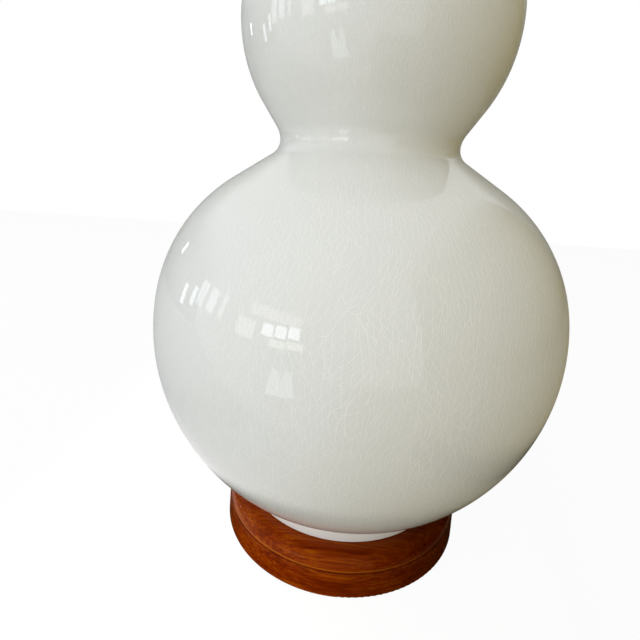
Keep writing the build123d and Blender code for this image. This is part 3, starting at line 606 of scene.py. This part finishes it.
every_line = maths(tree, "MAXIMUM", nets[0], maths(tree, "MAXIMUM", nets[1], nets[2]))
# Painted light: the net fades to faint towards -X, as if washed out by the light on that side.
light_wash_fade = ranged(tree, at["X"], LIGHT_WASH_FULL, LIGHT_WASH_GONE, 0.30, 1.0, smooth=True)
above_foot = ranged(tree, at["Z"], foot_top - GLAZE_END, foot_top + GLAZE_END)
net = maths(tree, "MULTIPLY", every_line, maths(tree, "MULTIPLY", light_wash_fade, above_foot))
ageing = noise(tree, spot, 7.0, 3.0)["Fac"]
ground = colour_steps(tree, ageing, (0.35, GLAZE_COOL), (0.65, GLAZE_IVORY))
netted = blend_colour(tree, maths(tree, "MULTIPLY", net, 0.5), ground, CRAZE_CREAM)
# Below the crease the foot ring is painted near-white: paler glaze plus painted light.
foot_and_body = blend_colour(tree, above_foot, FOOT_PALE_AND_LIT, netted)
# Painted reflection and shade: a red-brown line along the crease between the belly and the foot ring.
off_crease = maths(tree, "ABSOLUTE", maths(tree, "SUBTRACT", at["Z"], foot_top))
painted_reflection = ranged(tree, off_crease, 0.0, REFLECTION_HALF_WIDTH, 0.6, 0.0, smooth=True)
paint(tree, shader, blend_colour(tree, painted_reflection, foot_and_body, WOOD_REFLECTION_BROWN))
swell = noise(tree, spot, 26.0, 1.0)["Fac"]
bump(tree, shader, maths(tree, "MULTIPLY_ADD", net, 0.20, swell), 0.0004, 0.8)
body = turned("crackle_body", gourd_outline, 256, glaze)
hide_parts("ceramic_body")
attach(body, "lamp")


# Gasket and vase cap. A black rubber ring lies on the collar's rim, and a cap of spun brass drops over
# both: a lip round the collar, a flat rim and a cove that rises to the boss in the middle.
RUBBER_BLACK = (0.022, 0.022, 0.022, 1)
RUBBER_BLOOM = (0.050, 0.050, 0.048, 1)
BRASS_BRIGHT = (0.80, 0.57, 0.27, 1)
BRASS_DEEP = (0.60, 0.40, 0.16, 1)
give(moulded("gasket rubber", RUBBER_BLACK, RUBBER_BLOOM, 0.7), "cap_gasket")
brass = plated("lacquered brass", BRASS_BRIGHT, BRASS_DEEP, 0.17, (0.12, 0.12, 4.0))
give(brass, "vase_cap")


# Neck and check ring. A waisted spacer, turned from brass bar between two beads, stands on the cap, and
# a plain ring on top of it carries the harp's saddle.
give(brass, "neck_spacer", "check_ring")


# Saddle. A strap stamped from brass sheet, with its two ends bent up into posts for the harp's legs.
strip_brass = plated("strip brass", BRASS_BRIGHT, BRASS_DEEP, 0.22, (0.15, 2.0, 2.0))
give(strip_brass, "harp_saddle")


# Socket. A brass cup screws onto the pipe, locked by a slotted screw, and holds a brass shell with rolled
# beads. Inside are a fibre ring, a paper liner and a moulded core that carries the live parts.
FIBRE_TAN = (0.42, 0.33, 0.22, 1)
FIBRE_PALE = (0.60, 0.51, 0.38, 1)
PHENOLIC_BROWN = (0.040, 0.020, 0.013, 1)
PHENOLIC_RED = (0.085, 0.040, 0.024, 1)
BEAD_RADIUS = 0.0009
BEAD_PROUD = 0.00035
BEAD_SEATED = 0.0001
BEAD_STEP = 0.0002
BEAD_HEIGHTS = (0.0255, 0.0285, 0.0400)
give(brass, "socket_cap", "socket_shell")
shell_low, shell_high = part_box("socket_shell")
bead_sink = BEAD_RADIUS - BEAD_PROUD
bead_half = degrees(acos((bead_sink - BEAD_SEATED) / BEAD_RADIUS))
beads = []
for bead_height in BEAD_HEIGHTS:
    bead_centre = Vector((shell_high.x - bead_sink, shell_low.z + bead_height))
    beads.append(turned("bead", arc(bead_centre, BEAD_RADIUS, -bead_half, 2 * bead_half, BEAD_STEP), 96, brass))
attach(joined("rolled_beads", *beads), "lamp")

fibre, tree, shader, spot = new_finish("pressed fibre", Roughness=0.85)
pulp = noise(tree, scaled(tree, spot, (1.0, 1.0, 0.4)), 1800.0, 5.0)["Fac"]
paint(tree, shader, colour_steps(tree, pulp, (0.3, FIBRE_TAN), (0.7, FIBRE_PALE)))
bump(tree, shader, pulp, 0.00008)
give(fibre, "socket_liner", "socket_insulator")
give(moulded("brown phenolic", PHENOLIC_BROWN, PHENOLIC_RED, 0.3), "socket_core")


# Live parts. The screw shell that takes the bulb is rolled from thin bright brass, so its thread is a
# wave in the sheet. The centre contact is a sprung button, and two slotted screws hold the lead's ends.
PALE_BRASS = (0.84, 0.72, 0.42, 1)
DULL_BRASS = (0.66, 0.52, 0.26, 1)
BULB_THREAD_PITCH = 0.00363
BULB_THREAD_DEPTH = 0.00032
SCREW_SHEET = 0.0004
SCREW_FLANGE_BORE = 0.0112
CALM_START, CALM_END = -0.02, -0.12
SEAM_WELD = 1e-5
contact_brass = plated("bright contact brass", PALE_BRASS, DULL_BRASS, 0.2)
give(contact_brass, "centre_contact", "terminal_screws")


def rolled_thread_tree():
    """Rolls a flat sheet into a tube whose wall waves in and out along a helix, and calms at both ends."""
    group, given, made = start_group(
        "rolled thread", "GeometryNodeTree",
        {"Base": ("NodeSocketGeometry", None), "Radius": ("NodeSocketFloat", 0.0135),
         "Height": ("NodeSocketFloat", 0.022), "Bottom": ("NodeSocketFloat", 0.0),
         "Pitch": ("NodeSocketFloat", 0.0036), "Depth": ("NodeSocketFloat", 0.0003),
         "Steps Round": ("NodeSocketInt", 97), "Steps Up": ("NodeSocketInt", 61),
         "Finish": ("NodeSocketMaterial", None)},
        {"Form": "NodeSocketGeometry"},
    )
    sheet = result(
        group, "GeometryNodeMeshGrid",
        {"Size X": 1.0, "Size Y": 1.0, "Vertices X": given["Steps Round"], "Vertices Y": given["Steps Up"]},
    )
    at = place(group, "ShaderNodeSeparateXYZ", {0: result(group, "GeometryNodeInputPosition")}).outputs
    turn = maths(group, "ADD", at["X"], 0.5)
    angle = maths(group, "MULTIPLY", turn, 2 * pi)
    rise = maths(group, "MULTIPLY", maths(group, "ADD", at["Y"], 0.5), given["Height"])
    phase = maths(group, "SUBTRACT", maths(group, "DIVIDE", rise, given["Pitch"]), turn)
    wave = maths(group, "SINE", maths(group, "MULTIPLY", phase, 2 * pi))
    from_end = maths(group, "SUBTRACT", maths(group, "ABSOLUTE", at["Y"]), 0.5)
    depth = maths(group, "MULTIPLY", ranged(group, from_end, CALM_END, CALM_START, 1.0, 0.0), given["Depth"])
    reach = maths(group, "MULTIPLY_ADD", wave, depth, given["Radius"])
    there = result(group, "ShaderNodeCombineXYZ", {
        0: maths(group, "MULTIPLY", maths(group, "COSINE", angle), reach),
        1: maths(group, "MULTIPLY", maths(group, "SINE", angle), reach),
        2: maths(group, "ADD", rise, given["Bottom"]),
    })
    rolled = result(group, "GeometryNodeSetPosition", {"Geometry": sheet, "Position": there})
    welded = result(group, "GeometryNodeMergeByDistance", {"Geometry": rolled, "Distance": SEAM_WELD})
    return end_form(group, welded, given, made)


screw_low, screw_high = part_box("screw_shell")
wall_bottom = screw_low.z + SCREW_SHEET
screw_wall = grown(
    "screw_wall", bpy.data.meshes.new("screw_wall_start"), rolled_thread_tree(),
    {"Radius": screw_high.x - SCREW_SHEET / 2, "Height": screw_high.z - wall_bottom, "Bottom": wall_bottom,
     "Pitch": BULB_THREAD_PITCH, "Depth": BULB_THREAD_DEPTH, "Finish": contact_brass},
)
sheet = screw_wall.modifiers.new("sheet", "SOLIDIFY")
sheet.thickness, sheet.offset = SCREW_SHEET, 0.0
flange_outline = [
    (SCREW_FLANGE_BORE, screw_low.z), (screw_high.x, screw_low.z),
    (screw_high.x, wall_bottom), (SCREW_FLANGE_BORE, wall_bottom),
]
flange = turned("screw_flange", flange_outline, 96, contact_brass)
thick = evaluated_mesh(screw_wall)
screw_wall.modifiers.clear()
screw_wall.data = thick
bulb_thread = joined("rolled_screw_shell", screw_wall, flange)
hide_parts("screw_shell")
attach(bulb_thread, "lamp")


# Turn switch. A short steel shaft comes out of the shell's front, and a fluted knob of glossy black
# phenolic is pressed onto it.
KNOB_BLACK = (0.012, 0.011, 0.010, 1)
KNOB_GREY = (0.030, 0.027, 0.025, 1)
give(moulded("glossy black phenolic", KNOB_BLACK, KNOB_GREY, 0.16), "switch_knob")


# Harp and ferrules. The harp is one bent brass-plated wire with an eye pressed flat at its top, and two
# sleeves on its legs slide down over the saddle's posts to lock it.
drawn_brass = plated("drawn brass", BRASS_BRIGHT, BRASS_DEEP, 0.2, (0.4, 0.4, 0.2))
give(drawn_brass, "harp", "harp_ferrule_right", "harp_ferrule_left")


# Stud. It is turned from brass bar with a flange that the shade's ring sits on, a plain shank and a
# thread for the finial. Its rivet swivels in the harp's eye, held by a head below.
STUD_RISE = 0.0127
STUD_RADIUS = 0.0031
STUD_SHANK = 0.003175
STUD_SHANK_LENGTH = 0.0035
STUD_RELIEF = 0.0026
STUD_RELIEF_LENGTH = 0.0008
STUD_FLANGE = 0.0055
STUD_FLANGE_HEIGHT = 0.002
STUD_RIVET = 0.0024
STUD_HEAD = 0.004
STUD_HEAD_HEIGHT = 0.0014
STUD_EDGE = 0.0003
STUD_THREAD_PITCH = 0.00094
STUD_THREAD_DEPTH = 0.0004
STUD_END_GAP = 0.0005
stud_low, stud_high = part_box("harp_stud")
stud_seat = stud_high.z - STUD_RISE
flange_bottom = stud_seat - STUD_FLANGE_HEIGHT
head_top = stud_low.z + STUD_HEAD_HEIGHT
stud_root = STUD_RADIUS - STUD_THREAD_DEPTH
shank_top = stud_seat + STUD_SHANK_LENGTH
thread_bottom = shank_top + STUD_RELIEF_LENGTH
stud_outline = [
    (0, stud_low.z),
    (STUD_HEAD - STUD_EDGE * 2, stud_low.z), (STUD_HEAD, stud_low.z + STUD_EDGE * 2),
    (STUD_HEAD, head_top), (STUD_RIVET, head_top),
    (STUD_RIVET, flange_bottom), (STUD_FLANGE - STUD_EDGE, flange_bottom),
    (STUD_FLANGE, flange_bottom + STUD_EDGE), (STUD_FLANGE, stud_seat - STUD_EDGE),
    (STUD_FLANGE - STUD_EDGE, stud_seat), (STUD_SHANK, stud_seat),
    (STUD_SHANK, shank_top), (STUD_RELIEF, shank_top),
    (STUD_RELIEF, thread_bottom), (stud_root, thread_bottom),
    (stud_root, stud_high.z - STUD_EDGE), (stud_root - STUD_EDGE, stud_high.z),
    (0, stud_high.z),
]
stud_core = turned("stud_core", stud_outline, 64, brass)
stud_thread = threaded(
    "stud_thread", stud_root, STUD_THREAD_DEPTH, STUD_THREAD_PITCH,
    thread_bottom + STUD_THREAD_DEPTH, stud_high.z - STUD_END_GAP, brass,
)
stud = joined("threaded_stud", stud_core, stud_thread)
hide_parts("harp_stud")
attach(stud, "stud")


# Finial. A ball on a neck and a beaded foot, turned from solid brass, with a blind threaded hole. It
# screws onto the stud and holds a shade down.
give(brass, "finial")


# Camera, where the photograph's outline was fitted, and the plain studio: a pale floor, soft light from
# above, windows' worth of light on the left, and matte cards that the glaze and the lacquer mirror.
CAMERA_PLACE = Vector((0, -0.313528, 0.271476))
CAMERA_YAW, CAMERA_PITCH, CAMERA_ROLL = radians(-4.657), radians(18.899), radians(3.25)
CAMERA_FOCUS, CAMERA_SENSOR = 25.026, 36.0
CAMERA_NEAR = 0.01
WHITE = (1, 1, 1, 1)
AMBIENT = (0.95, 0.98, 1.02, 1)
AMBIENT_STRENGTH = 0.65
FLOOR_PALE = (0.82, 0.81, 0.79, 1)
FLOOR_REACH = 6
FLOOR_WHITE_SHARE = 0.88
FLOOR_WHITE_STRENGTH = 1.09
CARD_WARM = (0.42, 0.32, 0.05, 1)
CARD_OLIVE = (0.46, 0.41, 0.28, 1)
CARD_PALE = (0.68, 0.69, 0.68, 1)
CARD_GREY = (0.54, 0.54, 0.52, 1)
CARD_DARK = (0.05, 0.035, 0.015, 1)
CARD_TABLE = (0.10, 0.045, 0.012, 1)
CARD_LIFT = 0.0005
TABLE_RADIUS, TABLE_LIFT, TABLE_STEPS = 0.142, 0.0007, 48

camera = bpy.data.objects.new("camera", bpy.data.cameras.new("camera"))
bpy.context.scene.collection.objects.link(camera)
camera.data.lens, camera.data.sensor_width = CAMERA_FOCUS, CAMERA_SENSOR
camera.data.clip_start = CAMERA_NEAR
forward = Vector((
    sin(CAMERA_YAW) * cos(CAMERA_PITCH), cos(CAMERA_YAW) * cos(CAMERA_PITCH), -sin(CAMERA_PITCH),
))
level = Vector((cos(CAMERA_YAW), -sin(CAMERA_YAW), 0))
upward = level.cross(forward)
right = cos(CAMERA_ROLL) * level + sin(CAMERA_ROLL) * upward
up = -sin(CAMERA_ROLL) * level + cos(CAMERA_ROLL) * upward
camera.matrix_world = Matrix.Translation(CAMERA_PLACE) @ Matrix((right, up, -forward)).transposed().to_4x4()
bpy.context.scene.camera = camera


def seen_by_background_rays(tree):
    """1 for rays that show the white background: from the camera, from metal and gloss, and through glass."""
    rays = place(tree, "ShaderNodeLightPath").outputs
    gloss = maths(tree, "MAXIMUM", rays["Is Camera Ray"], rays["Is Glossy Ray"])
    return maths(tree, "MAXIMUM", gloss, rays["Is Transmission Ray"])


def end_with_mix(tree, output, amount, first, second):
    """Ends a tree with two shaders, mixed by an amount."""
    mixed = result(tree, "ShaderNodeMixShader", {0: amount, 1: first, 2: second})
    place(tree, output, {"Surface": mixed})


def stage_card(name, corners, finish, seen=True):
    """A flat card of the studio, from its corners."""
    sheet = bpy.data.meshes.new(name)
    sheet.from_pydata(corners, [], [tuple(range(len(corners)))])
    sheet.materials.append(finish)
    card = bpy.data.objects.new(name, sheet)
    bpy.context.scene.collection.objects.link(card)
    card.visible_camera = seen
    return card


def lying(low, high, lift=CARD_LIFT):
    """The corners of a card that lies on the floor, from one (x, y) to another."""
    return [(low[0], low[1], lift), (high[0], low[1], lift), (high[0], high[1], lift), (low[0], high[1], lift)]


def standing(near, far, top):
    """The corners of a card that stands on the floor, from one (x, y) to another."""
    return [(*near, 0.0), (*far, 0.0), (*far, top), (*near, top)]


paper = bpy.data.materials.new("pale floor")
tree = emptied(paper)
matte = result(tree, "ShaderNodeBsdfDiffuse", {"Color": FLOOR_PALE})
white = result(tree, "ShaderNodeEmission", {"Color": WHITE, "Strength": FLOOR_WHITE_STRENGTH})
share = maths(tree, "MULTIPLY", seen_by_background_rays(tree), FLOOR_WHITE_SHARE)
end_with_mix(tree, "ShaderNodeOutputMaterial", share, matte, white)
stage_card("floor", lying((-FLOOR_REACH, -FLOOR_REACH), (FLOOR_REACH, FLOOR_REACH), 0), paper)


def soft_card(name, colour, corners, along, whole, gone):
    """A matte card, unseen by the camera, that fades from whole to gone along an axis or outwards."""
    finish = bpy.data.materials.new(name)
    tree = emptied(finish)
    spot = place(tree, "ShaderNodeTexCoord").outputs["Object"]
    if along == "outwards":
        reach = place(tree, "ShaderNodeVectorMath", {0: spot}, operation="LENGTH").outputs["Value"]
    else:
        reach = place(tree, "ShaderNodeSeparateXYZ", {0: spot}).outputs[along]
    fade = ranged(tree, reach, whole, gone, smooth=True)
    matte = result(tree, "ShaderNodeBsdfDiffuse", {"Color": colour})
    end_with_mix(tree, "ShaderNodeOutputMaterial", fade, matte, result(tree, "ShaderNodeBsdfTransparent"))
    return stage_card(name, corners, finish, seen=False)


soft_card("warm_card", CARD_WARM, standing((0.7, -1.1), (1.5, 1.8), 2.2), "Z", 1.1, 2.1)
olive_card = soft_card("olive_card", CARD_OLIVE, lying((-0.1, -1.1), (1.5, 1.8)), "X", 0.08, -0.10)
floor_card = soft_card("floor_card", CARD_PALE, lying((-2.2, -0.3), (-0.12, 1.7)), "X", -0.30, -0.13)
soft_card("side_card", CARD_GREY, standing((-2.6, -0.2), (-2.2, 1.7), 1.8), "Z", 0.9, 1.7)
soft_card("low_card", CARD_DARK, standing((0.13, -0.26), (0.22, 0.3), 0.10), "Z", 0.045, 0.10)
soft_card("grey_card", CARD_GREY, standing((-2.2, 1.7), (1.5, 1.8), 1.8), "Z", 0.9, 1.7)
turns = [2 * pi * step / TABLE_STEPS for step in range(TABLE_STEPS)]
table_corners = [(TABLE_RADIUS * cos(turn), TABLE_RADIUS * sin(turn), TABLE_LIFT) for turn in turns]
table_card = soft_card("table_card", CARD_TABLE, table_corners, "outwards", 0.100, 0.140)
table_card.visible_diffuse = False
for card in (olive_card, floor_card, table_card):
    card.visible_shadow = False

world = bpy.data.worlds.new("studio")
bpy.context.scene.world = world
tree = emptied(world)
around = result(tree, "ShaderNodeBackground", {"Color": AMBIENT, "Strength": AMBIENT_STRENGTH})
backdrop = result(tree, "ShaderNodeBackground", {"Color": WHITE, "Strength": 1.0})
end_with_mix(tree, "ShaderNodeOutputWorld", seen_by_background_rays(tree), around, backdrop)

DAYLIGHT = (0.86, 0.93, 1.0)
CURTAIN_CREAM = (1.0, 0.98, 0.93)
BLIND_PINK = (1.0, 0.96, 0.96)
SOFT_WHITE = (0.97, 0.98, 1.0)
WARM_FILL = (1.0, 0.98, 0.91)
LIGHT_DISTANCE = 2.4
GOURD_MIDDLE = (0, 0, 0.21)
SHEEN_SPOT = (-0.035, -0.13, 0.004)
WINDOWS = {  # each kind's colour, radiance, width, height and bearings from the lamp's front
    "window_pane": (DAYLIGHT, 5.5, 0.24, 0.27, ((-42.0, 9.6), (-35.2, 10.3), (-28.4, 11.4))),
    "blind": (BLIND_PINK, 1.5, 1.15, 0.25, ((-40.0, 18.0),)),
    "window_sill": (CURTAIN_CREAM, 2.4, 0.36, 0.17, ((-36.0, 3.6), (-27.0, 4.4))),
    "curtain": (CURTAIN_CREAM, 1.9, 0.42, 0.40, ((-54.0, 7.0),)),
    "far_window": (DAYLIGHT, 3.2, 0.13, 0.34, ((-100.0, 3.0), (-92.0, 6.0))),
    "far_curtain": (DAYLIGHT, 2.2, 0.22, 0.46, ((-86.5, 10.0), (-78.0, 10.5))),
    "far_post": (CURTAIN_CREAM, 1.8, 0.12, 0.50, ((-70.5, 11.0),)),
    "glint": (DAYLIGHT, 5.0, 0.10, 0.17, ((-121.0, 10.0),)),
}


def soft_light(name, colour, radiance, size, bearing, distance=LIGHT_DISTANCE, target=GOURD_MIDDLE, mirrored=True):
    """A rectangular light at a bearing (azimuth, elevation) from a point that it is aimed at."""
    azimuth, elevation = radians(bearing[0]), radians(bearing[1])
    light = bpy.data.lights.new(name, "AREA")
    light.shape, light.size, light.size_y = "RECTANGLE", *size
    light.energy = radiance * pi * size[0] * size[1]
    light.color = colour
    away = Vector((sin(azimuth) * cos(elevation), -cos(azimuth) * cos(elevation), sin(elevation)))
    holder = bpy.data.objects.new(name, light)
    holder.location = Vector(target) + away * distance
    holder.rotation_euler = away.to_track_quat("Z", "Y").to_euler()
    holder.visible_camera, holder.visible_glossy = False, mirrored
    bpy.context.scene.collection.objects.link(holder)
    return holder


for kind, (colour, radiance, width, height, bearings) in WINDOWS.items():
    for number, bearing in enumerate(bearings):
        soft_light(f"{kind}_{number}", colour, radiance, (width, height), bearing)
soft_light("overhead", SOFT_WHITE, 0.9, (2.4, 2.4), (-30, 62), distance=2.2, mirrored=False)
soft_light("front_fill", WARM_FILL, 1.05, (2.2, 1.5), (26, 8), mirrored=False)
for number, azimuth in enumerate((-36.5, -29.5)):
    sheen = soft_light(
        f"floor_sheen_{number}", DAYLIGHT, 1.9, (0.08, 0.9), (azimuth, 0), distance=0.9, target=SHEEN_SPOT)
    sheen.rotation_euler = (pi, 0, radians(azimuth))

bpy.context.scene.view_settings.view_transform = "Standard"
